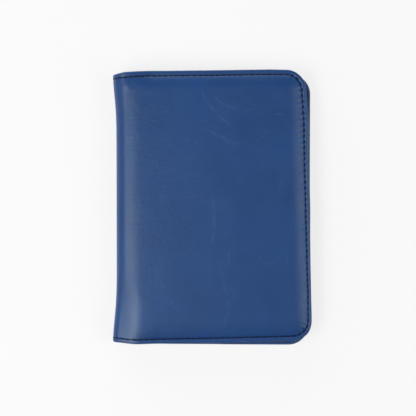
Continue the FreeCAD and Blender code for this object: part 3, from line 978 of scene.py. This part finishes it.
def leather(name, base, roughness=0.42, grain=1.0, marks=1.0, pulled=False):
    """Dyed leather. grain scales the relief, marks the pale streaks; pulled adds the marks, creases
    with the painted shade of the head and foot crease, and the polish of the outer cover."""
    mat = Material(name)
    sheet = mat.attribute("sheet")
    inset = mat.attribute("inset", output="Fac")
    cloud = mat.noise(sheet, scale=34, detail=4, rough=0.6, distort=0.4)
    mottle = mat.noise(mat.map(sheet, move=(1.3, 4.7, 0)), scale=330, rough=0.6, distort=0.5)
    patch = mat.noise(mat.map(sheet, move=(3.1, 1.7, 0)), scale=95, detail=5, rough=0.6)
    streaks = streak_field(mat, sheet)
    if pulled:
        streaks = mat.math("MAXIMUM", mat.times(mark_field(mat, sheet), 0.8),
                           mat.times(streaks, 0.4))

    pale_wear_and_highlight = base * (1.7, 1.5, 1.3) + (0.018, 0.022, 0.022)
    painted_seam_shade = base * 0.80
    light = base * (1.16, 1.15, 1.12)
    colour = mat.mix(mat.ramp(cloud, over=(0.3, 0.7)), base * 0.93, light)
    colour = mat.mix(mat.times(mat.ramp(patch, over=(0.45, 0.75)), 0.35), colour, light)
    colour = mat.mix(mat.times(mat.ramp(mottle, over=(0.36, 0.64)), 0.30), colour, light)
    colour = mat.mix(mat.times(streaks, 0.62 * marks), colour, pale_wear_and_highlight)
    # the turned edge is rubbed pale, and the pale also paints the highlight its rounded rim catches
    ragged = mat.times(mat.minus(mat.noise(sheet, scale=420), 0.5), 1.6)
    edge = mat.ramp(mat.plus(inset, ragged), over=(-0.9, 0.7), to=(1, 0))
    edge = mat.times(edge, mat.ramp(inset, over=(-2.2, -1.2)))
    colour = mat.mix(mat.times(edge, 0.5), colour, pale_wear_and_highlight)
    # painted shade: the leather along the needle line is darkened as if the seam's groove lay in
    # shadow
    off_seam = mat.math("ABSOLUTE", mat.minus(inset, SEAM))
    seam = mat.ramp(off_seam, over=(0.15, 0.75), to=(1, 0))
    colour = mat.mix(mat.times(seam, 0.45), colour, painted_seam_shade)
    specular = 0.47
    if pulled:
        crease_shade, x, y = crease_painted_shade(mat, sheet, inset)
        # painted shade darkens the needle line's crease along head and foot
        colour = mat.mix(mat.times(crease_shade, 0.7), colour, base * 0.3)
        specular = mat.plus(mat.times(foot_polish(mat, x, y), 0.17), specular)

    cells = mat.voronoi(mat.map(sheet, scale=(1, 1, 0.2)), scale=1500)
    pores = mat.noise(sheet, scale=2600, detail=2, rough=0.6)
    creases = mat.noise(mat.map(sheet, scale=(1, 1.4, 1)), scale=260, detail=4, rough=0.62,
                        distort=0.8)
    fine = mat.plus(mat.times(cells, 0.5), mat.times(pores, 0.5))
    normal = mat.bump(creases, distance=0.00022 * grain, strength=0.5)
    if pulled:
        normal = spine_creases(mat, sheet, normal)
    normal = mat.bump(fine, distance=0.00004 * grain, strength=0.55, normal=normal)
    normal = mat.bump(streaks, distance=0.00003, strength=0.5, normal=normal)
    rough = mat.plus(mat.times(mat.minus(patch, 0.5), 0.16), roughness)
    rough = mat.plus(rough, mat.times(streaks, 0.1))
    mat.surface(Base_Color=colour, Roughness=rough, Specular_IOR_Level=specular,
                Specular_Tint=(0.88, 1.0, 0.90), Normal=normal)
    return mat.data


# ---------------------------------------------------------------- cloth, thread and inner layers
def twill(name, base, weft, scale=1.0):
    mat = Material(name)
    sheet = mat.attribute("sheet")
    diagonal = mat.wave(mat.map(sheet, turn=math.radians(58)), scale=330 * scale, distort=0.25)
    warp = mat.wave(sheet, scale=620 * scale, distort=0.4)
    cross = mat.wave(sheet, scale=560 * scale, distort=0.4, axis="Y")
    weave = mat.times(mat.plus(diagonal, mat.times(mat.times(warp, cross), 0.6)), 0.62)
    soft = mat.ramp(mat.noise(sheet, scale=70), over=(0.35, 0.7))
    colour = mat.mix(weave, base, weft)
    colour = mat.mix(mat.times(soft, 0.3), colour, weft)
    mat.surface(Base_Color=colour, Roughness=0.72, Specular_IOR_Level=0.3, Sheen_Weight=0.25,
                Normal=mat.bump(weave, distance=0.00009, strength=0.8))
    return mat.data


def thread(name, base):
    mat = Material(name)
    sheet = mat.attribute("sheet")
    ply = mat.wave(mat.map(sheet, turn=math.radians(52)), scale=900, distort=0.3)
    fuzz = mat.noise(mat.map(sheet, scale=(0.4, 1, 1)), scale=6000, detail=2)
    colour = mat.mix(mat.times(ply, 0.6), base * 0.6, base * 1.5)
    colour = mat.mix(mat.times(fuzz, 0.3), colour, base * 2.0)
    height = mat.plus(ply, mat.times(fuzz, 0.4))
    mat.surface(Base_Color=colour, Roughness=0.6, Specular_IOR_Level=0.2,
                Normal=mat.bump(height, distance=0.00006, strength=0.7))
    return mat.data


def matte(mat, height, share, low, high, depth=0.0001):
    """Dull surface between a low and a high colour, with relief."""
    mat.surface(Base_Color=mat.mix(share, low, high), Roughness=0.85, Specular_IOR_Level=0.25,
                Normal=mat.bump(height, distance=depth, strength=0.6))
    return mat.data


def foam(name, low, high, scale):
    mat = Material(name)
    cells = mat.voronoi(mat.node("TexCoord", output="Object"), scale=scale)
    return matte(mat, cells, mat.ramp(cells, over=(0.05, 0.55)), low, high)


def fibres(name, low, high, scale, **relief):
    """Board and non-woven: fibres lying along x and y."""
    mat = Material(name)
    place = mat.node("TexCoord", output="Object")
    one, two = (mat.noise(mat.map(place, scale=stretch), scale=scale, detail=4, rough=0.7,
                          distort=1.5) for stretch in ((1, 6, 1), (6, 1, 1)))
    height = mat.times(mat.plus(one, two), 0.5)
    return matte(mat, height, mat.ramp(height, over=(0.42, 0.6)), low, high, **relief)


BLUE = np.array((0.0044, 0.0378, 0.151))
COVER = leather("cover_leather", BLUE, pulled=True)
POCKET = leather("pocket_leather", BLUE * 0.92, roughness=0.46, marks=0.4, grain=1.3)
LINING = twill("lining_twill", base=(0.004, 0.009, 0.028), weft=(0.016, 0.032, 0.085))
CLOTH = twill("pocket_cloth", base=(0.003, 0.007, 0.02), weft=(0.011, 0.022, 0.06), scale=1.6)
THREAD = thread("sewing_thread", np.array((0.0016, 0.0045, 0.016)))
FOAM = foam("padding_foam", low=(0.55, 0.54, 0.5), high=(0.8, 0.79, 0.74), scale=1400)
BOARD = fibres("grey_board", low=(0.26, 0.245, 0.22), high=(0.42, 0.4, 0.36), scale=900)
NON_WOVEN = fibres("non_woven", low=(0.5, 0.49, 0.46), high=(0.78, 0.77, 0.74), scale=1600,
                   depth=0.00008)

for node_name in ("stiffener_board_back", "stiffener_board_front"):
    NODES[node_name].data.materials.clear()
    NODES[node_name].data.materials.append(BOARD)


def bend(piece):
    """Bakes the piece's placement into its mesh."""
    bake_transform(piece)


def finish(piece, material, slot, *replaced, rides=None, bends=None):
    """Gives a piece its material, hangs it under the body it rides on or bakes its placement where
    it is to bend, and hides the nodes it replaces."""
    if rides:
        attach(piece, rides)
    if bends:
        bend(piece)
    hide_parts(*replaced)
    piece.data.materials.append(material)


# ---------------------------------------------------------------- the two halves of the cover
def outside_stitches(sheet):
    """Needle side of the edge seam. Along the fore edge the stitches are shorter and thicker."""
    def place(along, off, height):
        seam = SEAM + sheet.inward(along)
        depth = sheet.crown(*sheet.rim.walk(along, seam), seam) + 0.18 + 0.12 * sheet.foreward(along)
        return sheet.point(*sheet.rim.walk(along, seam + off), depth - height)

    starts = np.arange(sheet.stitch_count) * sheet.pitch
    fore = sheet.foreward(starts + PITCH / 2)
    row = stitches("edge_stitches_outside_" + sheet.word, starts, sheet.pitch, place,
                   gap=0.12 + 0.58 * fore, radius=0.26 + 0.07 * fore, slant=0.08 + 0.12 * fore,
                   dive=0.32 + 0.23 * fore)
    finish(row, THREAD, "sewing_thread", "seam_needle_thread_" + sheet.word,
           "seam_needle_thread_spine", bends=sheet.side)


SHEETS = []
for cover_side in (-1, 1):
    half = Sheet(cover_side)
    SHEETS.append(half)
    if cover_side > 0:
        half.puff = blown_cloth(half)
    finish(cover_leather(half), COVER, "cover_leather", "outer_cover_" + half.word,
           "outer_cover_spine", bends=cover_side)
    outside_stitches(half)


# ---------------------------------------------------------------- lining and layers inside
INNER = 0.8                                  # inset of lining and pockets from the edge
SKIVE = 4.4                                  # inset of the padding from the edge


def lining(sheet):
    end, top = sheet.width - INNER, HALF - INNER
    ripple = waves(31 + sheet.side, count=18, shortest=10, longest=40, height=0.0175)

    def back(run, y):
        return sheet.lined(run, y) + LINING_DEPTH

    def face(run, y):
        return back(run, y) + (LINING_TOP - LINING_LO[2]) + ripple(run, y)

    cloth = grid_slab(
        "lining_cloth_" + sheet.word, sheet.point,
        lines((0, 22, 0.8), (22, end - 11, 3.0), (end - 11, end, 1.0)),
        lines((-top, -top + 10, 1.0), (-top + 10, top - 10, 3.0), (top - 10, top, 1.0)),
        face, back, layer=sheet.side * 300, inset=INNER, corners=(-1, 1))
    finish(cloth, LINING, "lining_cloth", "lining_" + sheet.word, "lining_spine",
           bends=sheet.side)


def padding(sheet):
    """The padding between leather and board, skived thin towards the seam."""
    end, top = sheet.width - SKIVE, HALF - SKIVE
    start = sheet.run_of(1.5 if sheet.side > 0 else BACK_LO[0] + 1.5)

    def under_leather(run, y):
        return sheet.margin(run) * sheet.pad(run, y, sheet.inset(run, y)) + SKIN + 0.06

    pad = grid_slab(
        "padding_foam_" + sheet.word, sheet.point,
        lines((start, start + 8, 0.8), (start + 8, end - 9, 2.5), (end - 9, end, 0.75)),
        lines((-top, -top + 9, 0.75), (-top + 9, top - 9, 2.5), (top - 9, top, 0.75)),
        lambda run, y: BOARD_DEPTH - 0.05, under_leather,
        layer=sheet.side * 1500, inset=SKIVE, corners=(-1, 1))
    finish(pad, FOAM, "foam", "foam_pad_" + sheet.word, rides=sheet.word + "_cover")


def interlining(sheet):
    """The strip that stiffens the spine, between leather and lining, skived thin at its edge."""
    top = HALF - 6.2
    strip = grid_slab(
        "spine_interlining_" + sheet.word, sheet.point,
        lines((0, SPINE_RADIUS * 1.25, 0.6)), lines((-top, top, 3.0)),
        lambda run, y: SKIN + 0.12 + 0.28 * (1 - smooth((run - 1.5) / 3.5)),
        lambda run, y: SKIN + 0.06, layer=sheet.side * 900)
    finish(strip, NON_WOVEN, "interlining", "spine_interlining", bends=sheet.side)


for half in SHEETS:
    lining(half)
    padding(half)
    interlining(half)


# ---------------------------------------------------------------- pockets
BORDER = 5.1                                 # width of a pocket's sewn border
PANEL_X = 3.0                                # open side of the card panel
SLOT_TOPS = (22.0, 8.0, -6.0)                # y of the card slots' top edges
SLOT_STEP = 0.55                             # each card slot lies this much deeper
HEM_LINE = 2.2                               # a hem's crease or stitches, in from its edge


def pocket(name, replaced, side, start, step, low, high, thick, layer, bottom=None, top=None):
    """A pocket panel: flat field at depth high, and a stitched border on its sewn sides that
    steps to depth low. Without a top its free edge is at start, otherwise at the top; that edge
    has a turned hem. Without bottom or top it reaches foot or head."""
    place = on_front if side > 0 else on_back
    end, reach = FORE_X[side] - INNER, HALF - INNER
    foot_y = -reach if bottom is None else bottom
    head_y = reach if top is None else top
    foot_band = 8 if bottom is None else 2
    head_band, head_spacing = (8, 0.5) if top is None else (4, 0.4)
    xs = lines((start, start + 4, 0.4), (start + 4, end - 8, 2.5), (end - 8, end, 0.5))
    ys = lines((foot_y, foot_y + foot_band, 0.5), (foot_y + foot_band, head_y - head_band, 2.5),
               (head_y - head_band, head_y, head_spacing))
    seed = int(abs(start * 7 + step * 13)) + 41
    sag = waves(seed, count=14, shortest=14, longest=60, height=0.03)

    def sewn_inset(x, y):
        inset = end - x + INNER
        if bottom is None:
            inset = np.minimum(inset, y + reach + INNER)
        if top is None:
            inset = np.minimum(inset, reach - y + INNER)
        return inset

    def hem(x, y):
        if top is None:
            inset = x - start
            return 0.16 * smooth((3.9 - inset) / 0.9) - 0.14 * bell(inset - HEM_LINE, 0.4)
        inset = head_y - y
        return 0.16 * smooth((3.2 - inset) / 0.8) - 0.05 * bell(inset - HEM_LINE, 0.4)

    def face(x, y):
        inset = sewn_inset(x, y)
        rise = smooth((inset - step + 0.35) / 0.9)
        field = sag(x, y) * smooth((inset - step - 1) / 8)
        groove = -0.16 * bell(inset - SEAM, 0.5)
        return low + thick + (high - low) * rise + hem(x, y) * rise + field + groove

    def back(x, y):
        # the border of the back face steps a little further in than the face does
        inset = sewn_inset(x, y)
        return low + (high - low) * smooth((inset - step - 0.25) / 0.9)

    corners = [end_side for end_side, limit in ((-1, bottom), (1, top)) if limit is None]
    panel = grid_slab(name, place, xs, ys, face, back, layer=layer, inset=INNER, corners=corners)
    finish(panel, POCKET, "pocket_leather", replaced,
           rides="front_cover" if side > 0 else "back_cover")


pocket("passport_sleeve_leather", "passport_sleeve", side=-1, start=SLEEVE_LO[0], step=BORDER,
       low=SLEEVE_LO[2], high=4.0, thick=0.6, layer=500)
pocket("card_panel_leather", "card_panel", side=1, start=PANEL_X, step=BORDER,
       low=3.28, high=4.0, thick=0.6, layer=600)


def slot_cloth(word, top, depth, layer):
    """The cloth that hangs below a card slot's leather."""
    cloth = grid_slab(
        "card_slot_cloth_" + word, on_front, lines((PANEL_X + 0.5, FRONT_LEN - 6.1, 3.0)),
        lines((top - 50.0, top - 18.05, 2.0)), lambda x, y: depth + 0.15, lambda x, y: depth,
        layer=layer)
    finish(cloth, CLOTH, "pocket_cloth", "card_slot_backing_" + word, rides="front_cover")


for k, (slot_word, slot_top) in enumerate(zip(("upper", "middle", "lower"), SLOT_TOPS)):
    lowest = k == len(SLOT_TOPS) - 1
    slot_depth = 4.65 + SLOT_STEP * k
    pocket("card_slot_leather_" + slot_word, "card_slot_" + slot_word, side=1, start=PANEL_X,
           step=BORDER - SLOT_STEP * (k + 1), low=3.93 + SLOT_STEP * k, high=slot_depth,
           thick=0.5, layer=700 + 100 * k, bottom=None if lowest else slot_top - 18.0,
           top=slot_top)
    if not lowest:
        slot_cloth(slot_word, slot_top, slot_depth, layer=1000 + 50 * k)


# ---------------------------------------------------------------- inside stitches
BORDER_DEPTH = 3.88                          # of the sewn border of sleeve and card panel
HEM_DEPTH = 4.6                              # of the leather under the straight stitch rows


def inner_depth(side, x, y):
    """Depth of the innermost layer at the seam line, from the crown, in panel coordinates."""
    if side < 0:
        return np.where(x > SLEEVE_LO[0] + 0.2, BORDER_DEPTH, LINING_TOP)
    on_panel = x > PANEL_X + 0.2
    depth = np.where(on_panel, BORDER_DEPTH, LINING_TOP)
    at_fore = x > FRONT_LEN - 6
    at_foot = (y < 0) & on_panel
    for k, top in enumerate(SLOT_TOPS):
        # only the lowest slot is also sewn along the foot
        sewn = at_fore | at_foot if k == 2 else at_fore
        depth = np.where(sewn & (y < top), BORDER_DEPTH + SLOT_STEP * (k + 1), depth)
    return depth


def inside_stitches(sheet):
    """Bobbin side of the edge seam."""
    def place(along, off, height):
        run, y = sheet.rim.walk(along, SEAM)
        own_x = sheet.own_x(sheet.section(run)[0])
        extra = inner_depth(sheet.side, own_x, y) - LINING_TOP
        depth = sheet.margin(run) + LINING_DEPTH + 0.2 + extra + height
        return sheet.point(*sheet.rim.walk(along, SEAM - off), depth)

    starts = (np.arange(sheet.stitch_count) + 0.5)[:-1] * sheet.pitch
    row = stitches("edge_stitches_inside_" + sheet.word, starts, sheet.pitch, place, height=0.16)
    finish(row, THREAD, "sewing_thread", "seam_bobbin_thread_" + sheet.word,
           "seam_bobbin_thread_spine", bends=sheet.side)


def straight_stitches(name, replaced, on_cover, x, depth_at, rides):
    """A row along y on the inside of a cover."""
    def place(along, off, height):
        return on_cover(x + off, along, depth_at(along) + height)

    reach = HALF - BORDER - 1.0
    row = stitches(name, np.arange(-reach, reach - PITCH, PITCH), PITCH, place, height=0.18)
    finish(row, THREAD, "sewing_thread", replaced, rides=rides)


for half in SHEETS:
    inside_stitches(half)
straight_stitches("sleeve_hem_stitches", "passport_sleeve_hem_thread", on_back,
                  SLEEVE_LO[0] + HEM_LINE, lambda y: HEM_DEPTH, "back_cover")
straight_stitches("card_panel_stitches", "card_panel_thread", on_front, PANEL_X + 2.0,
                  lambda y: HEM_DEPTH + SLOT_STEP * sum(y < top for top in SLOT_TOPS),
                  "front_cover")


# ---------------------------------------------------------------- stage: floor, lights, camera
FLOOR_WHITE = 0.956                          # brightness the camera sees on floor and beyond
FLOOR_GLOW = 0.8                             # least share of the floor that glows by itself
WORLD_LIGHT = 0.1
LIGHT_DISTANCE, LIGHT_SIZE = 1.6, 0.62
# Softboxes round the table. Columns: azimuth from +x and elevation in degrees, power in W as if
# at 1.6 m, distance in m, and the y it hangs over and aims at, in m.
LIGHTS = {
    "head_low": (90, 12, 7.3, 1.6, 0.0),
    "head_left": (112.5, 30, 3.2, 1.6, 0.0),
    "left_high": (181, 65, 8.2, 0.7, -0.060),
    "left": (180, 50, 3.0, 1.6, 0.0),
    "left_back": (135, 12, 7.2, 1.6, 0.0),
    "left_front_low": (202.5, 30, 2.6, 1.6, 0.0),
    "left_front": (225, 50, 6.6, 1.6, 0.0),
    "right": (0, 50, 6.0, 1.6, 0.0),
    "right_front": (337.5, 30, 4.3, 1.6, 0.0),
    "right_low": (0, 12, 1.5, 1.6, 0.0),
    "left_low": (180, 12, 0.6, 1.6, 0.0),
    "under_left": (200, -55, 4.5, 1.6, 0.0),
    "under_right": (20, -50, 3.5, 1.6, 0.0),
}


def floor_paper():
    mat = Material("floor_paper")
    place = mat.node("TexCoord", output="Object")
    tint = mat.noise(place, scale=3.0, detail=2)
    mat.surface(Base_Color=mat.mix(tint, (0.83, 0.83, 0.83), (0.85, 0.85, 0.85)), Roughness=0.9,
                Specular_IOR_Level=0.1)
    # the table is lit past white, so shadows on it stay pale
    glow = mat.node("Emission", {0: (FLOOR_WHITE,) * 3})
    seen = mat.node("LightPath", output="Is Camera Ray")
    away = mat.node("VectorMath", {0: place}, "Value", operation="LENGTH")
    share = mat.math("MAXIMUM", FLOOR_GLOW, mat.ramp(away, over=(0.35, 0.9)))
    paper = mat.node("MixShader", {0: mat.times(share, seen), 1: mat.shader, 2: glow})
    # seen from below the table lets the view and the two lights under it through
    shadow = mat.node("LightPath", output="Is Shadow Ray")
    clear = mat.math("MAXIMUM", mat.node("NewGeometry", output="Backfacing"), shadow)
    put(mat.output, mat.node("MixShader", {0: clear, 1: paper, 2: mat.node("BsdfTransparent")}))
    return mat.data


def floor():
    reach, level = 3.0, -0.0002
    mesh = bpy.data.meshes.new("floor")
    corners = ((-reach, -reach), (reach, -reach), (reach, reach), (-reach, reach))
    mesh.from_pydata([(x, y, level) for x, y in corners], [], [(0, 1, 2, 3)])
    table = bpy.data.objects.new("floor", mesh)
    bpy.context.scene.collection.objects.link(table)
    mesh.materials.append(floor_paper())


def surroundings():
    """Dim light all round, but near white to the camera."""
    world = bpy.data.worlds.new("studio")
    bpy.context.scene.world = world
    world.use_nodes = True
    tree = world.node_tree
    light = tree.nodes["Background"]
    put(light.inputs[0], (1, 1, 1))
    put(light.inputs[1], WORLD_LIGHT)
    paper = add_node(tree, "Background", {0: (1, 1, 1), 1: FLOOR_WHITE})
    seen = add_node(tree, "LightPath", output="Is Camera Ray")
    both = add_node(tree, "MixShader", {0: seen, 1: light.outputs[0], 2: paper})
    put(tree.nodes["World Output"].inputs[0], both)


def softbox(name, azimuth, elevation, power, distance, aim_y):
    data = bpy.data.lights.new(name, "AREA")
    data.shape = "SQUARE"
    data.size = LIGHT_SIZE * distance / LIGHT_DISTANCE
    data.energy = power * (distance / LIGHT_DISTANCE) ** 2
    light = bpy.data.objects.new(name, data)
    bpy.context.scene.collection.objects.link(light)
    around, up = math.radians(azimuth), math.radians(elevation)
    away = np.array([math.cos(around) * math.cos(up), math.sin(around) * math.cos(up),
                     math.sin(up)])
    light.location = away * distance + np.array([0.0, aim_y, 0.0])
    light.rotation_euler = Vector(-away).to_track_quat("-Z", "Y").to_euler()


def overhead_camera():
    """Straight above the holder, looking down."""
    height = 800.0                           # over the table
    view_width = 220.3                       # width seen at the level of the front cover
    cover_level = FRONT_ORIGIN[2] - 5.0
    data = bpy.data.cameras.new("camera")
    camera = bpy.data.objects.new("camera", data)
    bpy.context.scene.collection.objects.link(camera)
    data.sensor_width = 36.0
    data.lens = 36.0 * (height - cover_level) / view_width
    data.clip_start = 0.01
    camera.location = (-1.85 * MM, 0.0, height * MM)
    camera.rotation_euler = (0.0, 0.0, math.radians(0.3))
    bpy.context.scene.camera = camera


floor()
surroundings()
for light_name, light_values in LIGHTS.items():
    softbox(light_name, *light_values)
overhead_camera()
bpy.context.scene.view_settings.view_transform = "Standard"
bpy.context.scene.view_settings.look = "None"
